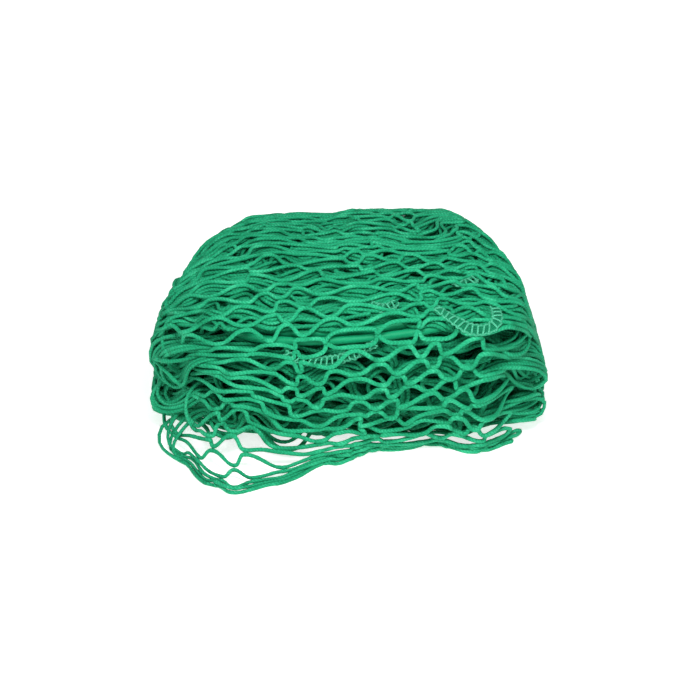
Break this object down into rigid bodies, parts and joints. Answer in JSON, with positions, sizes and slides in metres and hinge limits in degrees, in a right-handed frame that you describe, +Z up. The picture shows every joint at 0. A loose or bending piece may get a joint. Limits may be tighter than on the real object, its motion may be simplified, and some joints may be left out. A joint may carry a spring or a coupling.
{
  "type": "trailer net",
  "caption": "Green knotless trailer net with open diamond mesh, a smooth edge drawcord and a stitched border, folded back and forth into a loose bundle.",
  "frame": {"origin": "on the floor, under the middle of the folded bundle's bounding box", "axes": "+X along the folds, towards the right end; +Y towards the back, away from the apron and the hem; +Z up"},
  "size_m": [0.388, 0.3072, 0.167],
  "materials": {
    "netting": "matt braided twine",
    "cord": "smooth cord with a slight sheen",
    "stitching": "matt overlock stitching"
  },
  "bodies": {
    "root": {"net_panel": "netting", "draw_cord_front": "cord", "draw_cord_back": "cord", "stitched_edge_corner": "stitching", "stitched_edge_crest": "stitching", "stitched_edge_brow": "stitching", "stitched_edge_sill": "stitching"}
  },
  "joints": []
}
